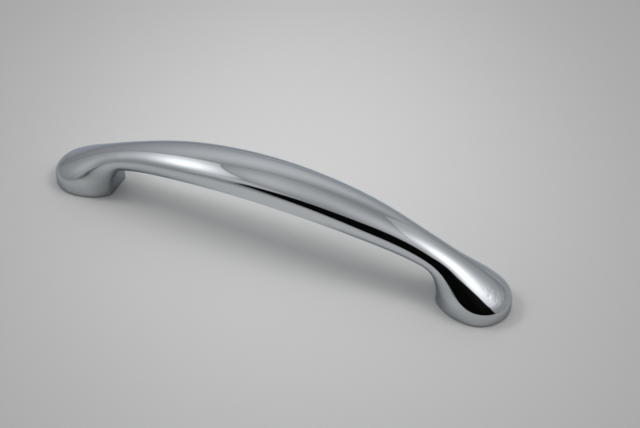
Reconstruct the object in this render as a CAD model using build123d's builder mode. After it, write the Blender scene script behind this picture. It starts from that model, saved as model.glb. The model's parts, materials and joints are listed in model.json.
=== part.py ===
"""Bow handle for a cabinet door or a drawer front, cast in one piece, in millimetres.

The handle stands on its two feet with the door face at z = 0, the bow along X and its middle at x = 0.
"""

import math
import os

from build123d import *

# Fixing: one blind threaded hole in each foot
hole_centres = 128.0
tapping_diameter = 3.3      # for an M4 thread
mouth_diameter = 4.6        # countersunk start of the thread
hole_depth = 7.0            # of the full bore
drill_point_angle = 118.0

# Side view, with heights above the door face
foot_length = 20.8          # along the handle
foot_height = 10.8          # top of the casting over the screw hole
bow_height = 27.2           # top of the casting at the middle
bow_thickness = 8.4         # at the middle
spring_height = 9.4         # where the line of the finger side meets the foot's inner wall
tip_radius = 3.8            # from the top down into the foot's outer wall
inner_radius = 8.0          # from the finger side down into the foot's inner wall

# Widths across the handle, from the foot round the bend to the middle of the bow
foot_width = 18.7
shoulder_width = 18.7       # where the foot's inner wall starts to turn
bend_width = 11.9           # halfway round the bend
neck_width = 10.5           # where the bend runs into the bow
bow_width = 15.6

# Egg section: the height of its widest level as a share of its thickness,
# and the width of its flat inner side as a share of its width
foot_level_share, foot_flat_share = 0.56, 0.46
neck_level_share, neck_flat_share = 0.53, 0.65
bow_level_share, bow_flat_share = 0.45, 0.97
edge_radius = 0.5           # along both edges of the flat

# Sections to each stretch of the handle, close enough to hold its curves
wall_steps = 4
bend_steps = 4
bow_steps = 20

hole_x = hole_centres / 2
inner_wall_x = hole_x - foot_length / 2
outer_wall_x = hole_x + foot_length / 2
underside_height = bow_height - bow_thickness


def arc_radius(half_span, rise):
    """Radius of the arc that climbs by rise from its ends to its middle."""
    return (half_span**2 + rise**2) / (2 * rise)


# The top is one long arc over both screw holes, rounded down into the outer walls
top_radius = arc_radius(hole_x, bow_height - foot_height)
top_end_height = bow_height - top_radius + math.sqrt(top_radius**2 - outer_wall_x**2)
with BuildLine(Plane.XZ) as outer_line:
    Line((-outer_wall_x, 0), (-outer_wall_x, top_end_height))
    ThreePointArc((-outer_wall_x, top_end_height), (0, bow_height), (outer_wall_x, top_end_height))
    Line((outer_wall_x, top_end_height), (outer_wall_x, 0))
    fillet(outer_line.vertices().group_by(Axis.Z)[-1], tip_radius)

# The finger side is a flatter arc between the inner walls, rounded down into them
with BuildLine(Plane.XZ) as inner_line:
    Line((-inner_wall_x, 0), (-inner_wall_x, spring_height))
    ThreePointArc((-inner_wall_x, spring_height), (0, underside_height), (inner_wall_x, spring_height))
    Line((inner_wall_x, spring_height), (inner_wall_x, 0))
    fillet(inner_line.vertices().group_by(Axis.Z)[-1], inner_radius)


def between(start, end, share):
    """Value a share of the way from start to end."""
    return start + (end - start) * share


def foot_form(rise):
    """Width, widest level and flat at a share of the inner wall: plumb up to half of it, then drawn in."""
    width = between(foot_width, shoulder_width, max(0, 2 * rise - 1) ** 2)
    return width, foot_level_share, foot_flat_share


def bend_form(turn):
    """The same at a share of the bend: the width is a parabola, the egg is the neck's from halfway on."""
    slope = 4 * bend_width - 3 * shoulder_width - neck_width
    curve = 2 * (shoulder_width + neck_width - 2 * bend_width)
    width = shoulder_width + slope * turn + curve * turn**2
    settled = min(1, 2 * turn)
    level_share = between(foot_level_share, neck_level_share, settled)
    return width, level_share, between(foot_flat_share, neck_flat_share, settled)


def bow_form(along):
    """The same at a share of the way from the neck to the middle: from above the bow swells in an arc."""
    fall = (1 - along) ** 2
    width = between(bow_width, neck_width, fall)
    level_share = between(bow_level_share, neck_level_share, fall)
    return width, level_share, between(bow_flat_share, neck_flat_share, fall)


def egg_section(line, share, form):
    """Egg cut off by its flat, square to the inner line, from that line out to the outer line."""
    width, level_share, flat_share = form
    plane = Plane(origin=line @ share, x_dir=(0, 1, 0), z_dir=line % share)
    reach = Edge.make_line(plane.origin, plane.origin + plane.y_dir * hole_centres)
    thickness = reach.intersect(outer_line.line).vertices()[0].distance_to(Vertex(plane.origin))
    level = level_share * thickness
    low_radius = level / math.sqrt(1 - flat_share**2)
    low_angle = math.degrees(math.acos(flat_share))
    with BuildSketch(plane) as section:
        with BuildLine():
            Line((-flat_share * width / 2, 0), (flat_share * width / 2, 0))
            EllipticalCenterArc((0, level), width / 2, low_radius, -low_angle, arc_size=low_angle)
            EllipticalCenterArc((0, level), width / 2, thickness - level, 0, arc_size=180)
            EllipticalCenterArc((0, level), width / 2, low_radius, 180, arc_size=low_angle)
        make_face()
        fillet(section.vertices().group_by(Axis.Y)[0], edge_radius)
    return section.sketch


left_wall, left_bend, underside, right_bend, right_wall = inner_line.edges().sort_by(Axis.X)
wall_shares = [step / wall_steps for step in range(wall_steps)]
bend_shares = [step / bend_steps for step in range(bend_steps + 1)]
bow_shares = [step / bow_steps for step in range(1, bow_steps)]

# One skin carried from seat to seat: up a foot, round its bend, along the bow and down again
cuts = [(left_wall, share, foot_form(share)) for share in wall_shares]
cuts += [(left_bend, share, bend_form(share)) for share in bend_shares]
cuts += [(underside, share, bow_form(1 - abs(1 - 2 * share))) for share in bow_shares]
cuts += [(right_bend, 1 - share, bend_form(share)) for share in reversed(bend_shares)]
cuts += [(right_wall, 1 - share, foot_form(share)) for share in reversed(wall_shares)]

with BuildPart() as handle:
    loft([egg_section(*cut) for cut in cuts])
    with Locations(Plane(origin=(0, 0, 0), z_dir=(0, 0, -1))):
        with GridLocations(hole_centres, 0, 2, 1):
            CounterSinkHole(tapping_diameter / 2, mouth_diameter / 2, hole_depth, counter_sink_angle=90)
    point_height = tapping_diameter / 2 / math.tan(math.radians(drill_point_angle / 2))
    with Locations((-hole_x, 0, hole_depth), (hole_x, 0, hole_depth)):
        Cone(
            tapping_diameter / 2,
            0,
            point_height,
            align=(Align.CENTER, Align.CENTER, Align.MIN),
            mode=Mode.SUBTRACT,
        )

handle.part.label = "handle"
os.makedirs("parts", exist_ok=True)
export_step(handle.part, "parts/handle.step")
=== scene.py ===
"""Bow handle for a cabinet door, cast in one piece and chrome plated, and the light tent around it.

Lengths are in metres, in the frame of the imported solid: the door face is at z = 0 and the bow runs along X.
"""

import json
import math

import bpy
import numpy as np
from bpy.props import FloatProperty, FloatVectorProperty, PointerProperty
from bpy.types import Operator, Panel, PropertyGroup
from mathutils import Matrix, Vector


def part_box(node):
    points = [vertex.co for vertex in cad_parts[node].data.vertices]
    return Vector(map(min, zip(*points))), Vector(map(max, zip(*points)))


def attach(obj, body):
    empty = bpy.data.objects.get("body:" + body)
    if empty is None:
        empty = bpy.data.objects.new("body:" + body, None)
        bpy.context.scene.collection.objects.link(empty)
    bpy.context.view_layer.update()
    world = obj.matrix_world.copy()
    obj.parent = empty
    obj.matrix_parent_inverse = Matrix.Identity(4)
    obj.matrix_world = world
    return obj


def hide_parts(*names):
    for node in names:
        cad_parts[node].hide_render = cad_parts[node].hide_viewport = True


bl_info = {
    "name": "Chrome bow handle",
    "version": (1, 0, 0),
    "blender": (4, 5, 0),
    "location": "3D View > Sidebar > Bow handle",
    "description": "Makes a chrome plated bow handle and the light tent around it",
    "category": "Add Mesh",
}

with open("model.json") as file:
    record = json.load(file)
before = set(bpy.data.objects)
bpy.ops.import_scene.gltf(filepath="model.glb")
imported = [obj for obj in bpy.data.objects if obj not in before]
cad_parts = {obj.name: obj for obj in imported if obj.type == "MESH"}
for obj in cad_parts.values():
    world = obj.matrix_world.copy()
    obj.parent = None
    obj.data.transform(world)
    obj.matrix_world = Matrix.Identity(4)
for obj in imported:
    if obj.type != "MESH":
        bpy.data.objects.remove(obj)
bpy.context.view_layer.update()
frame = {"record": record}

MM = 0.001
BODY = "root"
NODE = "handle"
PICTURE_WIDTH = 640                 # pixels
SENSOR_WIDTH = 36.0                 # millimetres
NEAREST_SEEN = 0.01                 # metres from the camera
ON_WALL = 0.002                     # metres from a wall's plane that still count as on the wall
BEYOND_TENT = 9.0                   # metres, more than any distance in the tent

mounts = {mount["name"]: mount for mount in frame["record"]["mounts"]}
hole_pattern = mounts["screw_holes"]["dims"]
hole_spacing = hole_pattern["spacing_x_mm"] * MM
handle_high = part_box(NODE)[1]

# Rows of the skin along half the handle, and points along half of a section
BOW_ROWS, BEND_ROWS, WALL_ROWS, ROUNDING_ROWS, SEAT_ROWS, BORE_ROWS = 84, 40, 12, 6, 6, 100
FLAT_POINTS, CORNER_POINTS, LOW_POINTS, TOP_POINTS = 8, 8, 16, 40
LAST_ROWS = np.array([1.5, 1.0])    # heights of a wall's last two rows, over the radius of the seat's edge
FIRST_SEAT_ROW = 0.02               # share of the way from the seat's edge to the hole
HALVINGS = 40
TINY = 1e-9
SHARP_ANGLE = math.radians(40)

# Shares of the way from the middle of the bow to the seat, as finger_side counts them
WIDTH_STOPS = [0, 1 / 3, 2 / 3, 1, 1.5, 2, 2.5, 3]
EGG_STOPS = [0, 1 / 3, 2 / 3, 1.4, 1.75, 2, 2.5, 3]
SEAT_STOP = 3.0

# Noise patterns: waves to the metre and detail, and distortion for the finer waves
HAZE_NOISE = (180.0, 3.0)
WIPE_NOISE = (900.0, 4.0)
RIPPLE_NOISE = (110.0, 1.0)
WRINKLE_NOISE = (800.0, 0.0, 1.0)
MOTTLE_NOISE = (14.0, 4.0)
FOLD_NOISE = (2.2, 2.0)
GRIND_NOISE = (1.0, 3.0)            # in the stretched place below
GRIND_STRETCH = (400.0, 9000.0, 400.0)
HAZE_RANGE = (0.35, 0.75)           # noise where the haze starts and where it is full


def length(name, description, default):
    """A size of the casting or the stage."""
    return FloatProperty(name=name, description=description, default=default, unit="LENGTH", precision=5)


def share(name, description, default):
    """A plain number, such as a share or a strength."""
    return FloatProperty(name=name, description=description, default=default, precision=4)


def watts(name, description, default):
    """The power of a lamp."""
    return FloatProperty(name=name, description=description, default=default, unit="POWER", precision=4)


def tint(name, description, default):
    """A colour in linear light."""
    return FloatVectorProperty(name=name, description=description, default=default, subtype="COLOR", size=3)


def place(name, description, default):
    """A point in the tent."""
    return FloatVectorProperty(
        name=name, description=description, default=default, subtype="TRANSLATION", unit="LENGTH", size=3
    )


def span(name, description, default):
    """A stretch, from where a change starts to where it is full."""
    return FloatVectorProperty(name=name, description=description, default=default, unit="LENGTH", size=2)


def patch(name, description, default):
    """A soft patch on a wall or the top: the two measures of its centre, and its spread in each."""
    return FloatVectorProperty(name=name, description=description, default=default, unit="LENGTH", size=4)


def degrees(name, description, default):
    """An angle, given in degrees."""
    return FloatProperty(name=name, description=description, default=math.radians(default), subtype="ANGLE")


class CastingSizes(PropertyGroup):
    """Sizes of the cast handle."""

    hole_centres: length("Hole centres", "Between the two screw holes", hole_spacing)
    foot_length: length("Foot length", "Along the handle", 2 * handle_high.x - hole_spacing)
    foot_height: length("Foot height", "Top of the casting over a screw hole", 10.8 * MM)
    bow_height: length("Bow height", "Top of the casting at the middle", handle_high.z)
    bow_thickness: length("Bow thickness", "At the middle", 8.4 * MM)
    spring_height: length("Spring height", "Where the finger side meets the foot's inner wall", 9.4 * MM)
    tip_radius: length("Tip radius", "From the top down into the outer wall", 3.8 * MM)
    inner_radius: length("Inner radius", "From the finger side down into the inner wall", 8.0 * MM)
    foot_width: length("Foot width", "Across the foot", 18.7 * MM)
    shoulder_width: length("Shoulder width", "Where the inner wall starts to turn", 18.7 * MM)
    bend_width: length("Bend width", "Halfway round the bend", 11.9 * MM)
    neck_width: length("Neck width", "Where the bend runs into the bow", 10.5 * MM)
    bow_width: length("Bow width", "At the middle", 15.6 * MM)
    foot_widest: share("Foot widest", "Widest level as a share of the thickness", 0.56)
    foot_flat: share("Foot flat", "Flat inner side as a share of the width", 0.46)
    neck_widest: share("Neck widest", "Widest level as a share of the thickness", 0.53)
    neck_flat: share("Neck flat", "Flat finger side as a share of the width", 0.65)
    bow_widest: share("Bow widest", "Widest level as a share of the thickness", 0.45)
    bow_flat: share("Bow flat", "Flat finger side as a share of the width", 0.97)
    edge_radius: length("Edge radius", "Along both edges of the flat", 0.5 * MM)
    seat_radius: length("Seat radius", "Round the ground edge of the seat", 0.4 * MM)
    bore_radius: length("Bore radius", "Of the tapping hole", hole_pattern["hole_r_mm"] * MM)
    bore_depth: length("Bore depth", "Of the full bore", 7.0 * MM)
    mouth_radius: length("Mouth radius", "Of the countersink at the seat", 2.3 * MM)
    thread_radius: length("Thread radius", "At the root of the thread", 2.0 * MM)
    thread_pitch: length("Thread pitch", "From turn to turn", 0.7 * MM)
    thread_end: length("Thread end", "Height where the thread runs out", 6.2 * MM)
    drill_angle: degrees("Drill point", "Angle of the bore's point", 118)


class PlatingLook(PropertyGroup):
    """Finish of the plating, and painted shade inside the feet and round their seats."""

    chrome: tint("Chrome", "Polished plating", (0.657, 0.69, 0.707))
    rim: tint("Rim", "Share of the light that stays at a low angle", (0.62, 0.68, 0.76))
    satin: tint("Satin", "Plating on the ground seat and in the holes", (0.46, 0.465, 0.47))
    gloss: share("Gloss", "Roughness of the polished plating", 0.035)
    haze: share("Haze", "Added roughness where the polish is hazy", 0.03)
    satin_roughness: share("Satin roughness", "Roughness of the ground seat", 0.34)
    grind_roughness: share("Grind roughness", "Added roughness in the grinding marks", 0.2)
    grind_shade: share("Grind shade", "Change of the satin colour from mark to mark", 0.8)
    grind: length("Grind", "Height of the grinding marks on the seat", 0.004 * MM)
    ripple: length("Ripple", "Height of the waves that polishing leaves", 0.01 * MM)
    wrinkle: length("Wrinkle", "Height of the finer waves at the ends", 0.055 * MM)
    wrinkle_start: span("Wrinkle start", "Out along the bow, to the finer waves", (65.5 * MM, 69.5 * MM))
    wrinkle_near: span("Wrinkle near", "Across, where the finer waves begin", (-4.8 * MM, -2.8 * MM))
    wrinkle_far: span("Wrinkle far", "Across, where the finer waves end", (1.0 * MM, 4.0 * MM))
    wrinkle_left: share("Wrinkle left", "Share of the finer waves that the left end has", 0.25)
    # Painted shade: the plating's colour is darkened inside each foot, where the shadow under the bend falls,
    # and round each seat, where the foot meets the floor.
    painted_shade_kept: share("Recess", "Share of the light that thin plating keeps", 0.62)
    inner_shade_start: span("Recess start", "Out along the bow, to thin plating inside a foot", (48 * MM, 53 * MM))
    inner_shade_end: span("Recess end", "Out along the bow, where it ends", (54 * MM, 63 * MM))
    inner_shade_top: span("Recess top", "Height where it ends", (7 * MM, 13 * MM))
    # Painted shade round the seat: a dark line at the floor and a longer fade above it.
    seat_shade_line: span("Seat line", "Height of the dark line round the seat", (0.3 * MM, 1.6 * MM))
    seat_shade_fade: span("Seat fade", "Height where the plating over the seat is full", (0.0, 9 * MM))
    seat_shade_share: share("Seat share", "Share of the thin plating at the seat that is in its line", 0.4)


class TentSetup(PropertyGroup):
    """Floor, light tent, lamps and camera."""

    floor_colour: tint("Floor", "Pale matte floor", (0.91, 0.91, 0.898))
    floor_roughness: share("Floor roughness", "Of the matte floor", 0.9)
    floor_sheen: share("Floor sheen", "Strength of the floor's faint reflection", 0.1)
    mottle: share("Mottle", "Change of the floor's paleness from spot to spot", 0.04)
    # Painted light: the pool below darkens the floor's colour away from its middle, in place of the fall-off
    # of the light.
    pool_middle: place("Pool middle", "Palest point of the floor", (-0.005, 0.029, 0.0))
    pool_reach: place("Pool reach", "How far the floor stays pale, across and along", (0.097, 0.141, 0.0))
    pool_turn: degrees("Pool turn", "Of the pool's length, from the handle's width", 25.451)
    pool_edge: share("Pool edge", "Share of the floor's paleness that stays beyond", 0.55)
    left_front: place("Left front", "Corner of the tent", (-0.957, -1.10, 0.0))
    left_back: place("Left back", "Corner of the tent", (-1.107, 0.36, 0.0))
    right_back: place("Right back", "Corner of the tent", (0.276, 1.338, 0.0))
    right_front: place("Right front", "Corner of the tent", (0.887, -1.061, 0.0))
    tent_height: length("Tent height", "From the floor to the top", 1.63)
    lamp_size: length("Lamp size", "Across each lamp", 0.36)
    left_place: place("Left place", "Of the left lamp", (-1.0, -0.12, 1.03))
    right_place: place("Right place", "Of the right lamp", (0.50, 0.19, 0.80))
    top_place: place("Top place", "Of the top lamp", (-0.04, 0.09, 1.5))
    left_power: watts("Left power", "Of the left lamp", 2.9)
    right_power: watts("Right power", "Of the right lamp", 1.25)
    top_power: watts("Top power", "Of the top lamp", 0.7)
    camera_azimuth: degrees("Azimuth", "Of the camera, from the front", 25.451)
    camera_elevation: degrees("Elevation", "Of the camera", 41.512)
    camera_distance: length("Distance", "From the camera to its aim", 447.31 * MM)
    camera_aim: place("Aim", "Point on the floor in the middle of the picture", (8.082 * MM, 15.314 * MM, 0))
    camera_focus: share("Focal length", "In pixels of the picture", 1477.0)


class ClothLight(PropertyGroup):
    """Light through the tent's cloth, and its parted front."""

    cloth_colour: tint("Cloth", "Light through the tent's cloth", (0.87, 0.87, 0.892))
    left_cloth: share("Left cloth", "Brightness of the plain left wall", 0.506)
    back_cloth: share("Back cloth", "Brightness of the plain back wall", 0.339)
    right_cloth: share("Right cloth", "Brightness of the plain right wall", 0.519)
    front_cloth: share("Front cloth", "Brightness of the plain front flaps", 0.314)
    top_cloth: share("Top cloth", "Brightness of the plain top", 0.333)
    left_patch: patch("Left patch", "Of the left lamp: along and up", (0.785, 1.031, 0.714, 0.607))
    left_lamp: share("Left lamp", "Added in the middle of its patch", 1.42)
    right_patch: patch("Right patch", "Of the right lamp: along and up", (1.152, 0.762, 0.396, 0.734))
    right_lamp: share("Right lamp", "Added in the middle of its patch", 1.95)
    back_patch: patch("Back patch", "On the back wall: along and up", (0.99, 0.70, 0.84, 0.76))
    back_glow: share("Back glow", "Added in the middle of the back patch", 0.69)
    back_shade: patch("Back shade", "Dim part of the back wall: along and up", (1.22, 0.93, 0.69, 0.69))
    back_loss: share("Back loss", "Taken off in the middle of the back shade", 0.32)
    front_patch: patch("Front patch", "On the left flap: from the left wall and up", (0.0, 0.69, 0.66, 0.66))
    front_glow: share("Front glow", "Added in the middle of the front patch", 0.45)
    top_left: patch("Top left", "Patch on the top: in X and Y", (-0.62, -0.26, 0.45, 0.85))
    top_left_glow: share("Top left glow", "Added in the middle of the top left patch", 0.28)
    top_right: patch("Top right", "Patch on the top: in X and Y", (0.80, 0.03, 0.97, 0.64))
    top_right_glow: share("Top right glow", "Added in the middle of the top right patch", 0.44)
    folds: share("Folds", "Change of the plain light from fold to fold", 0.12)
    hem: span("Hem", "Height where the light over the hem is full", (0.19, 1.0))
    hem_plain: share("Hem plain", "Share of the plain light at the hem", 0.73)
    hem_lamps: share("Hem lamps", "Share of the lamps' patches at the hem", 0.08)
    seam_width: length("Seam width", "From a seam to plain cloth", 0.045)
    seam_light: share("Seam light", "Share of the light on a seam", 0.80)
    sweep_start: span("Sweep start", "Along the back wall, to the bright sweep at its foot", (0.5, 1.1))
    sweep_end: span("Sweep end", "Along the right wall, to the sweep's end", (0.6, 1.3))
    sweep_top: span("Sweep top", "Height where the sweep ends", (0.12, 0.20))
    sweep_glow: share("Sweep glow", "Share of light added in the sweep", 0.25)
    crease_height: length("Crease height", "Of the dim crease over the sweep", 0.235)
    crease_spread: length("Crease spread", "Of the dim crease over the sweep", 0.04)
    crease_loss: share("Crease loss", "Share of light taken off in the crease", 0.22)
    flap_width: length("Flap width", "Of the left flap, from the left wall", 0.38)
    flap_tie: length("Flap tie", "Height where the left flap starts to widen", 0.55)
    flap_lean: share("Flap lean", "How much the left flap widens as it rises", 0.685)
    flap_edge: length("Flap edge", "Half width of the left flap's soft edge", 0.045)
    lap_width: length("Lap width", "Of the thin lap of the left flap, at the floor", 0.32)
    lap_top: span("Lap top", "Height where the lap ends", (0.20, 0.25))
    lap_light: share("Lap light", "Share of the light on the lap", 0.75)
    right_edge: length("Right edge", "Along the right wall, to its edge at the opening", 1.455)
    right_tie: length("Right tie", "Height where the right edge starts to curve away", 0.75)
    right_curve: share("Right curve", "How far the right edge curves away", 0.79)
    right_power: share("Right power", "Power of the right edge's curve", 1.5)
    right_foot: length("Right foot", "How far the right edge stands out at the floor", 0.07)
    right_foot_top: span("Right foot top", "Height where that ends", (0.30, 0.60))
    right_soft: length("Right soft", "Half width of the right wall's soft edge", 0.03)
    opening_loss: share("Opening loss", "Share of the light that the opening lacks", 0.99)


def arc_radius(half_span, rise):
    """Radius of the arc that climbs by rise from its ends to its middle."""
    return (half_span**2 + rise**2) / (2 * rise)


def spline(knots, values, at):
    """Cubic curve through the values, level at both ends, with one slope at each knot.

    The slopes solve the usual rows: each knot's curvature is the same from both sides.
    """
    step = np.diff(knots)
    rise = np.diff(values) / step
    inner = np.arange(1, len(knots) - 1)
    rows = np.eye(len(knots))
    rows[inner, inner - 1] = step[1:]
    rows[inner, inner] = 2 * (step[:-1] + step[1:])
    rows[inner, inner + 1] = step[:-1]
    right = np.zeros(len(knots))
    right[inner] = 3 * (step[1:] * rise[:-1] + step[:-1] * rise[1:])
    slope = np.linalg.solve(rows, right)
    k = np.clip(np.searchsorted(knots, at) - 1, 0, len(step) - 1)
    t = (at - knots[k]) / step[k]
    low = (1 + 2 * t) * values[k] + t * step[k] * slope[k]
    high = (3 - 2 * t) * values[k + 1] - (1 - t) * step[k] * slope[k + 1]
    return (1 - t) ** 2 * low + t**2 * high


def finger_side(size):
    """Finger side in side view, from the middle of the bow to the seat: x, z, lean and share of each row.

    The lean is the angle from upright of the way out, square to the line. Up to a share of 1 the line is an
    arc under the bow, up to 2 the rounding into the foot, and up to 3 the foot's plumb inner wall.
    """
    inner_x = (size.hole_centres - size.foot_length) / 2
    underside = size.bow_height - size.bow_thickness
    radius = arc_radius(inner_x, underside - size.spring_height)
    bend_x = inner_x - size.inner_radius
    neck = math.asin(bend_x / (radius - size.inner_radius))
    bend_z = underside - radius + (radius - size.inner_radius) * math.cos(neck)
    bow = np.linspace(0, neck, BOW_ROWS, endpoint=False)
    bend = np.linspace(neck, math.pi / 2, BEND_ROWS, endpoint=False)
    last_drops = bend_z - size.seat_radius * LAST_ROWS
    drop = np.append(np.linspace(0, last_drops[0], WALL_ROWS, endpoint=False), last_drops)
    x = np.concatenate([radius * np.sin(bow), bend_x + size.inner_radius * np.sin(bend), inner_x + 0 * drop])
    arc_z = underside - radius + radius * np.cos(bow)
    z = np.concatenate([arc_z, bend_z + size.inner_radius * np.cos(bend), bend_z - drop])
    lean = np.concatenate([bow, bend, math.pi / 2 + 0 * drop])
    shares = np.concatenate([bow / neck, 1 + (bend - neck) / (math.pi / 2 - neck), 2 + drop / bend_z])
    return x, z, lean, shares


def outer_reach(size, x, z, lean):
    """Distance from the finger side to the outer line: the nearer of the top arc and the outer wall,
    or the rounding at the tip where the way out passes between its two ends.
    """
    out_x, out_z = np.sin(lean), np.cos(lean)
    outer_x = (size.hole_centres + size.foot_length) / 2
    top_radius = arc_radius(size.hole_centres / 2, size.bow_height - size.foot_height)
    top_z = size.bow_height - top_radius
    tip_x = outer_x - size.tip_radius
    tip_z = top_z + math.sqrt((top_radius - size.tip_radius) ** 2 - tip_x**2)

    def far_side(centre_x, centre_z, radius):
        """Way along the ray to where it leaves a circle."""
        along = (x - centre_x) * out_x + (z - centre_z) * out_z
        inside = radius**2 - (x - centre_x) ** 2 - (z - centre_z) ** 2
        return np.sqrt(np.maximum(along**2 + inside, 0)) - along

    to_wall = (outer_x - x) / np.maximum(out_x, TINY)
    reach = np.minimum(far_side(0, top_z, top_radius), to_wall)
    seen = np.arctan2(x + reach * out_x - tip_x, z + reach * out_z - tip_z)
    in_tip = (seen > math.atan2(tip_x, tip_z - top_z)) & (seen < math.pi / 2)
    return np.where(in_tip, far_side(tip_x, tip_z, size.tip_radius), reach)


def egg_forms(size, shares, run):
    """Half width, widest level and flat of each row: smooth curves through the named sizes.

    Along the bow a size changes with the square of the way from the middle.
    """
    swell = np.array([0, 1, 4]) / 9

    def through(stops, values):
        return spline(np.interp(stops, shares, run), np.array(values), run)

    def egg_share(foot, neck, bow):
        bow_shares = bow + (neck - bow) * swell
        return through(EGG_STOPS, [*bow_shares, neck, (foot + neck) / 2, foot, foot, foot])

    bow_widths = size.bow_width + (size.neck_width - size.bow_width) * swell
    end_widths = [size.neck_width, size.bend_width, size.shoulder_width, size.foot_width, size.foot_width]
    half_width = through(WIDTH_STOPS, [*bow_widths, *end_widths]) / 2
    widest = egg_share(size.foot_widest, size.neck_widest, size.bow_widest)
    flat = egg_share(size.foot_flat, size.neck_flat, size.bow_flat)
    return half_width, widest, flat


def egg_outline(half_width, thickness, widest, flat, edge):
    """Half of each egg section, from the middle of its flat to its top: across and up from the flat.

    Above the widest level it is a quarter ellipse, below it a lower ellipse that the flat cuts off, and a
    circle of the edge radius rolls into the corner between them. Where it touches the ellipse is found by
    halving.
    """
    level = widest * thickness
    depth = level / np.sqrt(1 - flat**2)

    def rolled(angle):
        """Way out of the ellipse at an angle below its middle, and the height of the circle's centre."""
        across, down = np.cos(angle) / half_width, -np.sin(angle) / depth
        size = np.hypot(across, down)
        return across / size, down / size, level - depth * np.sin(angle) - edge * down / size

    low, high = np.zeros_like(level), np.arccos(flat)
    for _ in range(HALVINGS):
        angle = (low + high) / 2
        under = rolled(angle)[2] < edge
        low, high = np.where(under, low, angle), np.where(under, angle, high)
    out_across, out_up, _ = rolled(angle)
    centre = half_width * np.cos(angle) - edge * out_across

    def spread(start, end, count, last=True):
        return start[:, None] + (end - start)[:, None] * np.linspace(0, 1, count, endpoint=last)

    flat_part = spread(0 * centre, centre, FLAT_POINTS, False)
    corner = spread(0 * centre - math.pi / 2, np.arctan2(out_up, out_across), CORNER_POINTS, False)
    lower = spread(angle, 0 * angle, LOW_POINTS, False)
    upper = spread(0 * angle, 0 * angle + math.pi / 2, TOP_POINTS)
    wide, level, depth, rise = (v[:, None] for v in (half_width, level, depth, thickness - level))
    across = [flat_part, centre[:, None] + edge * np.cos(corner), wide * np.cos(lower), wide * np.cos(upper)]
    up = [
        0 * flat_part,
        edge * (1 + np.sin(corner)),
        level - depth * np.sin(lower),
        level + rise * np.sin(upper),
    ]
    return np.concatenate(across, 1), np.concatenate(up, 1)


def skin_rings(size):
    """Closed rings of the skin from the middle of the bow to just above the seat, on the +X side.

    Each egg section stands square on the finger side, so a point is the row's own point, plus its height
    above the flat along the lean, with the section's width across.
    """
    x, z, lean, shares = finger_side(size)
    thickness = outer_reach(size, x, z, lean)
    mid = np.stack([x + thickness / 2 * np.sin(lean), z + thickness / 2 * np.cos(lean)])
    run = np.append(0, np.cumsum(np.hypot(*np.diff(mid, axis=1))))
    run_to_seat = np.append(run, run[-1] + size.seat_radius)
    forms = egg_forms(size, np.append(shares, SEAT_STOP), run_to_seat)
    half_width, widest, flat = (form[:-1] for form in forms)
    across, up = egg_outline(half_width, thickness, widest, flat, size.edge_radius)
    ring_x = x[:, None] + up * np.sin(lean)[:, None]
    ring_z = z[:, None] + up * np.cos(lean)[:, None]
    near = np.stack([ring_x, -across, ring_z], -1)
    far = np.stack([ring_x, across, ring_z], -1)[:, -2:0:-1]
    return np.concatenate([near, far], 1)


def thread_depth(size, angle, z):
    """Depth of the thread's groove beyond the bore: a flat-topped zigzag of the turn that a point is on.

    The turn is z over the pitch less the angle over a full circle, and the groove fades out at the end of
    the thread.
    """
    crest, root = 1 / 4, 7 / 8
    turn = (z / size.thread_pitch - angle / (2 * math.pi)) % 1
    groove = np.clip((1 - np.abs(2 * turn - 1) - crest) / (root - crest), 0, 1)
    fade = np.clip((size.thread_end - z) / size.thread_pitch, 0, 1)
    return (size.thread_radius - size.bore_radius) * groove * fade


def seat_rings(size, outline, hole_x):
    """Rings from a foot's outline over its rounded edge, across the seat and up the hole, and its point.

    The edge is a quarter circle that draws the outline in, the seat runs straight to the hole's mouth, and
    the bore's radius is the larger of the countersink, mouth less height, and the thread.
    """
    ahead, behind = np.roll(outline, -1, 0), np.roll(outline, 1, 0)
    along = (ahead - behind)[:, :2]
    out = np.stack([along[:, 1], -along[:, 0]], -1) / np.hypot(*along.T)[:, None]
    out *= np.sign(np.sum(out * (outline[:, :2] - [hole_x, 0]), axis=1))[:, None]
    turn = np.linspace(0, math.pi / 2, ROUNDING_ROWS)[1:, None]
    inset = size.seat_radius * (1 - np.cos(turn))
    edge_xy = outline[None, :, :2] - inset[:, :, None] * out[None]
    edge_z = size.seat_radius * (1 - np.sin(turn)) + 0 * edge_xy[:, :, 0]
    rim = edge_xy[-1]
    angle = np.arctan2(rim[:, 1], rim[:, 0] - hole_x)
    around = np.stack([np.cos(angle), np.sin(angle)], -1)
    mouth = [hole_x, 0] + size.mouth_radius * around
    way = np.append(FIRST_SEAT_ROW, np.linspace(0, 1, SEAT_ROWS)[1:])[:, None, None]
    seat_xy = rim + (mouth - rim) * way
    z = np.linspace(0, size.bore_depth, BORE_ROWS)[1:, None]
    radius = np.maximum(size.mouth_radius - z, size.bore_radius + thread_depth(size, angle[None], z))
    bore_xy = [hole_x, 0] + radius[:, :, None] * around
    flat = np.concatenate([edge_xy, seat_xy, bore_xy])
    height = np.concatenate([edge_z, 0 * seat_xy[:, :, 0], z + 0 * radius])
    point = [hole_x, 0, size.bore_depth + size.bore_radius / math.tan(size.drill_angle / 2)]
    return np.concatenate([flat, height[:, :, None]], -1), point


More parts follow.
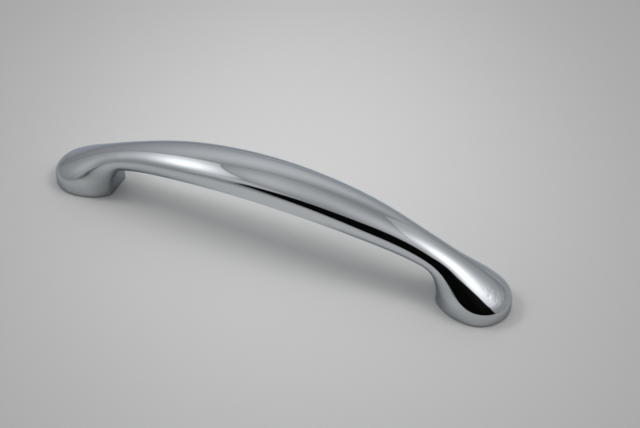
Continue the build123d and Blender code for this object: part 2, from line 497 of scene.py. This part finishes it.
def closed_mesh(name, rings, poles, unpolished):
    """Mesh of rings that close on themselves, joined in order, with a fan to a pole at each end."""
    count, around = rings.shape[:2]
    index = np.arange(count * around).reshape(count, around)
    after = np.roll(index, -1, 1)
    quads = np.stack([index[:-1], index[1:], after[1:], after[:-1]], -1).reshape(-1, 4)
    first, last = count * around, count * around + 1
    start = np.stack([0 * index[0] + first, index[0], after[0]], -1)
    end = np.stack([0 * index[-1] + last, after[-1], index[-1]], -1)
    mesh = bpy.data.meshes.new(name)
    points = np.concatenate([rings.reshape(-1, 3), poles])
    mesh.from_pydata(points, [], quads.tolist() + start.tolist() + end.tolist())
    mesh.shade_smooth()
    mesh.set_sharp_from_angle(angle=SHARP_ANGLE)
    values = np.append(np.repeat(unpolished, around), [1.0, 1.0]).astype(np.float32)
    mesh.attributes.new("unpolished", "FLOAT", "POINT").data.foreach_set("value", values)
    mesh.update()
    return mesh


def casting_mesh(size):
    """The whole handle as one closed grid: up out of one screw hole, over the skin and into the other."""
    right = skin_rings(size)
    left = right * [-1, 1, 1]
    hole_x = size.hole_centres / 2
    right_seat, right_point = seat_rings(size, right[-1], hole_x)
    left_seat, left_point = seat_rings(size, left[-1], -hole_x)
    rings = np.concatenate([left_seat[::-1], left[:0:-1], right, right_seat])
    seat = np.ones(len(right_seat))
    seat[: ROUNDING_ROWS - 1] = 0
    unpolished = np.concatenate([seat[::-1], np.zeros(2 * len(right) - 1), seat])
    return closed_mesh("bow_handle", rings, [left_point, right_point], unpolished)


class Signal:
    """A socket of a node tree. Arithmetic on it adds Math nodes, and node() adds any other kind."""

    def __init__(self, tree, socket=None):
        self.tree = tree
        self.socket = socket

    def node(self, kind, settings=None, inputs=None, output=0):
        """Adds a node, sets it up, fills its sockets with values or links, and gives one of its outputs."""
        made = self.tree.nodes.new(kind)
        for key, value in (settings or {}).items():
            setattr(made, key, value)
        for key, value in (inputs or {}).items():
            if isinstance(value, Signal):
                self.tree.links.new(value.socket, made.inputs[key])
            else:
                made.inputs[key].default_value = value
        return Signal(self.tree, made.outputs[output])

    def math(self, operation, *values):
        """A Math node on this value and others."""
        return self.node("ShaderNodeMath", {"operation": operation}, dict(enumerate([self, *values])))

    def __add__(self, other):
        return self.math("ADD", other)

    __radd__ = __add__

    def __mul__(self, other):
        return self.math("MULTIPLY", other)

    __rmul__ = __mul__

    def __sub__(self, other):
        return self.math("SUBTRACT", other)

    def __rsub__(self, other):
        return self.node("ShaderNodeMath", {"operation": "SUBTRACT"}, {0: other, 1: self})

    def __truediv__(self, other):
        return self.math("DIVIDE", other)

    def __rtruediv__(self, other):
        return self.node("ShaderNodeMath", {"operation": "DIVIDE"}, {0: other, 1: self})

    def step(self, low, high):
        """A smooth step from 0 at low to 1 at high."""
        settings = {"interpolation_type": "SMOOTHSTEP"}
        return self.node("ShaderNodeMapRange", settings, {"Value": self, "From Min": low, "From Max": high})

    def axes(self):
        """The three parts of this place."""
        return [self.node("ShaderNodeSeparateXYZ", None, {0: self}, output=axis) for axis in "XYZ"]

    def noise(self, scale, detail, distortion=0.0):
        """Noise at this place, from 0 to 1."""
        inputs = {"Vector": self, "Scale": scale, "Detail": detail, "Distortion": distortion}
        return self.node("ShaderNodeTexNoise", None, inputs)

    def blend(self, low, high):
        """A colour between two, by this value."""
        return self.node("ShaderNodeMix", {"data_type": "RGBA"}, {0: self, 6: low, 7: high}, output=2)

    def times_colour(self, colour):
        """A colour made brighter or darker by this value."""
        return self.node("ShaderNodeVectorMath", {"operation": "SCALE"}, {0: colour, "Scale": self})


def new_material(name):
    """An empty node material, its starting Signal and its surface shader."""
    material = bpy.data.materials.new(name)
    material.use_nodes = True
    tree = material.node_tree
    tree.nodes.clear()
    shader = tree.nodes.new("ShaderNodeBsdfPrincipled")
    output = tree.nodes.new("ShaderNodeOutputMaterial")
    tree.links.new(shader.outputs[0], output.inputs[0])
    return material, Signal(tree), shader


def feed(start, shader, **signals):
    """Links signals to the shader's sockets, named with underscores for spaces."""
    for name, signal in signals.items():
        start.tree.links.new(signal.socket, shader.inputs[name.replace("_", " ")])


def colour(values):
    """A colour property with full opacity."""
    return (*values, 1.0)


def painted_shade(look, out, z):
    """Where shade is painted into the plating's colour: inside a foot, and at its seat, in a line and a
    longer fade above it.
    """
    along = out.step(*look.inner_shade_start) * (1 - out.step(*look.inner_shade_end))
    inside = along * (1 - z.step(*look.inner_shade_top))
    line = look.seat_shade_share * (1 - z.step(*look.seat_shade_line))
    fade = (1 - look.seat_shade_share) * (1 - z.step(*look.seat_shade_fade))
    return inside.math("MAXIMUM", line + fade)


def wrinkled_ends(look, x, y, out):
    """Where the finer waves are: on top of both ends, and fainter at the left one."""
    on_top = y.step(*look.wrinkle_near) * (1 - y.step(*look.wrinkle_far))
    at_right = x.math("GREATER_THAN", 0.0)
    return out.step(*look.wrinkle_start) * on_top * (look.wrinkle_left + (1 - look.wrinkle_left) * at_right)


def plating_material(look):
    """Chrome over a polished casting, clear but for a faint haze and slow ripples, satin on the seats, and
    painted shade inside the feet and near the seats.
    """
    material, start, shader = new_material("chrome_plate")
    where = start.node("ShaderNodeTexCoord", output="Object")
    satin = start.node("ShaderNodeAttribute", {"attribute_name": "unpolished"}, output="Fac")
    x, y, z = where.axes()
    out = x.math("ABSOLUTE")
    haze = where.noise(*HAZE_NOISE).step(*HAZE_RANGE)
    wipe = where.noise(*WIPE_NOISE)
    ripples = where.noise(*RIPPLE_NOISE)
    wrinkles = where.noise(*WRINKLE_NOISE) - 0.5
    grind_place = start.node("ShaderNodeMapping", None, {"Vector": where, "Scale": GRIND_STRETCH})
    grind = grind_place.noise(*GRIND_NOISE)
    polished = look.gloss + look.haze * haze * wipe
    roughness = polished * (1 - satin) + satin * (look.satin_roughness + look.grind_roughness * grind)
    polish_height = ripples * look.ripple + wrinkles * wrinkled_ends(look, x, y, out) * look.wrinkle
    height = polish_height * (1 - satin) + satin * grind * look.grind
    bump = start.node("ShaderNodeBump", None, {"Height": height, "Distance": 1.0})
    shade = (satin * (1 - look.grind_shade / 2 + look.grind_shade * grind)).step(0.0, 1.0)
    finish = shade.blend(colour(look.chrome), colour(look.satin))
    # Painted shade: the chrome's colour is darkened inside the feet and near their seats.
    light = 1 - (1 - look.painted_shade_kept) * painted_shade(look, out, z)
    shader.inputs["Metallic"].default_value = 1.0
    shader.inputs["Specular Tint"].default_value = colour(look.rim)
    feed(start, shader, Base_Color=light.times_colour(finish), Roughness=roughness, Normal=bump)
    return material


def floor_material(setup):
    """Matte card with a barely visible mottle, and a painted pool of light: palest at its middle, fading as a
    bell across and along it.
    """
    material, start, shader = new_material("pale_card")
    where = start.node("ShaderNodeTexCoord", output="Object")
    x, y, _ = where.axes()
    side, ahead = math.cos(setup.pool_turn), math.sin(setup.pool_turn)
    off_x, off_y = x - setup.pool_middle[0], y - setup.pool_middle[1]
    across = (off_x * side + off_y * ahead) / setup.pool_reach[0]
    away = (off_y * side - off_x * ahead) / setup.pool_reach[1]
    painted_pool = (0 - across * across - away * away).math("EXPONENT")
    spots = 1 - setup.mottle / 2 + setup.mottle * where.noise(*MOTTLE_NOISE)
    # Painted light: the floor's colour is palest in the pool and darker away from it.
    light = (setup.pool_edge + (1 - setup.pool_edge) * painted_pool) * spots
    feed(start, shader, Base_Color=light.times_colour(tuple(setup.floor_colour)))
    shader.inputs["Roughness"].default_value = setup.floor_roughness
    shader.inputs["Specular IOR Level"].default_value = setup.floor_sheen
    return material


def tent_corners(setup):
    """Corners of the tent on the floor, from the left front round to the right front."""
    return [setup.left_front, setup.left_back, setup.right_back, setup.right_front]


def tent_walls(setup):
    """Each wall of the tent, from the left round to the front: its start, its way along and its way in."""
    ends = [Vector(corner[:2]) for corner in tent_corners(setup)]
    ways = [(ends[(i + 1) % 4] - ends[i]).normalized() for i in range(4)]
    return [(start, way, Vector((way.y, -way.x))) for start, way in zip(ends, ways)]


def apart(first, second, spot):
    """Squared distance from a patch's centre, with each measure over its spread."""
    off_first = (first - spot[0]) / spot[2]
    off_second = (second - spot[1]) / spot[3]
    return off_first * off_first + off_second * off_second


def bell(first, second, spot):
    """Soft patch: e to the power of minus the squared distance."""
    return (0 - apart(first, second, spot)).math("EXPONENT")


def lamp_patch(first, second, spot):
    """Patch of a lamp behind the cloth: one over the square of 1 plus the squared distance."""
    near = 1 / (1 + apart(first, second, spot))
    return near * near


def wall_light(cloth, axes, folds, depth, along):
    """Light of the walls and the top: plain light with its patches, and the lamps, fading towards the hem."""
    x, y, z = axes
    left, back, right, front, top = (gap.math("LESS_THAN", ON_WALL) for gap in depth)
    back_light = cloth.back_cloth + bell(along[1], z, cloth.back_patch) * cloth.back_glow
    back_light = back_light - bell(along[1], z, cloth.back_shade) * cloth.back_loss
    front_light = cloth.front_cloth + bell(depth[0], z, cloth.front_patch) * cloth.front_glow
    top_light = cloth.top_cloth + bell(x, y, cloth.top_left) * cloth.top_left_glow
    top_light = top_light + bell(x, y, cloth.top_right) * cloth.top_right_glow
    plain = left * cloth.left_cloth + back * back_light + right * cloth.right_cloth
    plain = plain + front * front_light + top * top_light
    lamps = left * lamp_patch(along[0], z, cloth.left_patch) * cloth.left_lamp
    lamps = lamps + right * lamp_patch(along[2], z, cloth.right_patch) * cloth.right_lamp
    hem = z.step(*cloth.hem)
    plain = plain * (cloth.hem_plain + (1 - cloth.hem_plain) * hem) * folds
    return plain + lamps * (cloth.hem_lamps + (1 - cloth.hem_lamps) * hem)


def seam_shade(cloth, depth):
    """Share of the light near a seam, where the second nearest of the walls and the top is near as well."""
    nearest, second = depth[0], depth[0] + BEYOND_TENT
    for gap in depth[1:]:
        second = second.math("MINIMUM", nearest.math("MAXIMUM", gap))
        nearest = nearest.math("MINIMUM", gap)
    return cloth.seam_light + (1 - cloth.seam_light) * second.step(0.0, cloth.seam_width)


def sweep_light(cloth, z, along):
    """Share of the light low on the back and right walls: a bright sweep, and a dim crease over it.

    The crease is a bell of the height: e to the power of minus the squared distance over its spread.
    """
    behind = along[1].step(*cloth.sweep_start) * (1 - along[2].step(*cloth.sweep_end))
    off_crease = (z - cloth.crease_height) / cloth.crease_spread
    crease = (0 - off_crease * off_crease).math("EXPONENT")
    return 1 + behind * (cloth.sweep_glow * (1 - z.step(*cloth.sweep_top)) - cloth.crease_loss * crease)


def opening(cloth, z, past_flap, along_right):
    """How far the front is open, from the left flap with its thin lap to the edge of the right wall.

    The flap widens in a straight line over its tie, the lap narrows as much as it rises, and the right edge
    curves away over its tie by a power of the height.
    """
    past_flap = past_flap - (cloth.flap_lean * (z - cloth.flap_tie)).math("MAXIMUM", 0.0)
    lap = ((cloth.lap_width - z) * (1 - z.step(*cloth.lap_top))).math("MAXIMUM", 0.0)
    on_lap = past_flap.step(-cloth.flap_edge, cloth.flap_edge)
    past_lap = (past_flap - lap).step(-cloth.flap_edge, cloth.flap_edge)
    open_left = (1 - cloth.lap_light) * on_lap + cloth.lap_light * past_lap
    rise = (z - cloth.right_tie).math("MAXIMUM", 0.0).math("POWER", cloth.right_power)
    right_edge = cloth.right_edge + cloth.right_curve * rise
    right_edge = right_edge + cloth.right_foot * (1 - z.step(*cloth.right_foot_top))
    return open_left * (along_right - right_edge).step(-cloth.right_soft, cloth.right_soft)


def cloth_material(setup, cloth):
    """Tent cloth lit from outside, with a patch before each lamp, seams, a sweep and the parted front."""
    material, start, shader = new_material("tent_cloth")
    where = start.node("ShaderNodeTexCoord", output="Object")
    x, y, z = where.axes()
    walls = tent_walls(setup)

    def measure(point, way):
        """Distance from a point of the floor in one direction."""
        return (x - point[0]) * way[0] + (y - point[1]) * way[1]

    depth = [measure(point, inward) for point, way, inward in walls] + [setup.tent_height - z]
    along = [measure(point, way) for point, way, inward in walls]
    folds = 1 - cloth.folds / 2 + cloth.folds * where.noise(*FOLD_NOISE)
    lit = wall_light(cloth, (x, y, z), folds, depth, along)
    past_flap = measure(walls[0][0], -walls[3][1]) - cloth.flap_width - depth[3]
    shut = 1 - cloth.opening_loss * opening(cloth, z, past_flap, along[2])
    light = lit * seam_shade(cloth, depth) * sweep_light(cloth, z, along) * shut
    shader.inputs["Base Color"].default_value = colour((0.0, 0.0, 0.0))
    shader.inputs["Specular IOR Level"].default_value = 0.0
    shader.inputs["Emission Strength"].default_value = 1.0
    feed(start, shader, Emission_Color=light.times_colour(tuple(cloth.cloth_colour)))
    return material


def add_object(name, data):
    """A new object in the scene."""
    made = bpy.data.objects.new(name, data)
    bpy.context.scene.collection.objects.link(made)
    return made


def add_lamp(name, location, size, power):
    """A round lamp turned to the handle. Mirrors show the patches on the cloth in its place."""
    light = bpy.data.lights.new(name, "AREA")
    light.shape = "DISK"
    light.size = size
    light.energy = power
    made = add_object(name, light)
    made.location = location
    made.rotation_euler = (-made.location).to_track_quat("-Z", "Y").to_euler()
    made.visible_camera = False
    made.visible_glossy = False
    return made


def flat_mesh(name, faces):
    """Mesh of separate flat four-cornered faces."""
    corners = np.array(faces, dtype=float).reshape(-1, 3)
    mesh = bpy.data.meshes.new(name)
    mesh.from_pydata(corners, [], np.arange(len(corners)).reshape(-1, 4).tolist())
    mesh.update()
    return mesh


class BOWHANDLE_OT_casting(Operator):
    """Makes the handle's casting with its plating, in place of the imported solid"""

    bl_idname = "bow_handle.casting"
    bl_label = "Casting"

    def execute(self, context):
        casting = add_object("bow_handle", casting_mesh(context.scene.bow_handle_sizes))
        casting.data.materials.append(plating_material(context.scene.bow_handle_look))
        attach(casting, BODY)
        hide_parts(NODE)
        return {"FINISHED"}


class BOWHANDLE_OT_stage(Operator):
    """Makes the floor, the light tent, the lamps and the camera"""

    bl_idname = "bow_handle.stage"
    bl_label = "Stage"

    def execute(self, context):
        setup = context.scene.bow_handle_stage
        corners = tent_corners(setup)
        ground, top = ([(*corner[:2], level) for corner in corners] for level in (0.0, setup.tent_height))
        walls = [[ground[i - 1], ground[i], top[i], top[i - 1]] for i in range(len(corners))]
        floor = add_object("floor", flat_mesh("floor", [ground[::-1]]))
        floor.data.materials.append(floor_material(setup))
        tent = add_object("light_tent", flat_mesh("light_tent", [*walls, top]))
        tent.data.materials.append(cloth_material(setup, context.scene.bow_handle_cloth))
        add_lamp("left_lamp", setup.left_place, setup.lamp_size, setup.left_power)
        add_lamp("right_lamp", setup.right_place, setup.lamp_size, setup.right_power)
        add_lamp("top_lamp", setup.top_place, setup.lamp_size, setup.top_power)

        lens = bpy.data.cameras.new("camera")
        lens.sensor_fit = "HORIZONTAL"
        lens.sensor_width = SENSOR_WIDTH
        lens.lens = setup.camera_focus / PICTURE_WIDTH * SENSOR_WIDTH
        lens.clip_start = NEAREST_SEEN
        camera = add_object("camera", lens)
        flat = math.cos(setup.camera_elevation)
        back = Vector((
            math.sin(setup.camera_azimuth) * flat,
            -math.cos(setup.camera_azimuth) * flat,
            math.sin(setup.camera_elevation),
        ))
        camera.location = Vector(setup.camera_aim) + setup.camera_distance * back
        camera.rotation_euler = (-back).to_track_quat("-Z", "Y").to_euler()
        context.scene.camera = camera
        context.scene.view_settings.view_transform = "Standard"
        return {"FINISHED"}


class BOWHANDLE_PT_panel(Panel):
    """Sizes, finish and stage of the bow handle"""

    bl_idname = "BOWHANDLE_PT_panel"
    bl_label = "Bow handle"
    bl_space_type = "VIEW_3D"
    bl_region_type = "UI"
    bl_category = "Bow handle"

    def draw(self, context):
        groups = (
            (BOWHANDLE_OT_casting, (context.scene.bow_handle_sizes, context.scene.bow_handle_look)),
            (BOWHANDLE_OT_stage, (context.scene.bow_handle_stage, context.scene.bow_handle_cloth)),
        )
        for operator, settings in groups:
            box = self.layout.box()
            for group in settings:
                for name in group.__annotations__:
                    box.prop(group, name)
            box.operator(operator.bl_idname)


CLASSES = (
    CastingSizes,
    PlatingLook,
    TentSetup,
    ClothLight,
    BOWHANDLE_OT_casting,
    BOWHANDLE_OT_stage,
    BOWHANDLE_PT_panel,
)


def register():
    for item in CLASSES:
        bpy.utils.register_class(item)
    bpy.types.Scene.bow_handle_sizes = PointerProperty(type=CastingSizes)
    bpy.types.Scene.bow_handle_look = PointerProperty(type=PlatingLook)
    bpy.types.Scene.bow_handle_stage = PointerProperty(type=TentSetup)
    bpy.types.Scene.bow_handle_cloth = PointerProperty(type=ClothLight)


def unregister():
    del bpy.types.Scene.bow_handle_cloth
    del bpy.types.Scene.bow_handle_stage
    del bpy.types.Scene.bow_handle_look
    del bpy.types.Scene.bow_handle_sizes
    for item in reversed(CLASSES):
        bpy.utils.unregister_class(item)


def main():
    register()
    bpy.ops.bow_handle.casting()
    bpy.ops.bow_handle.stage()


if __name__ == "__main__":
    main()
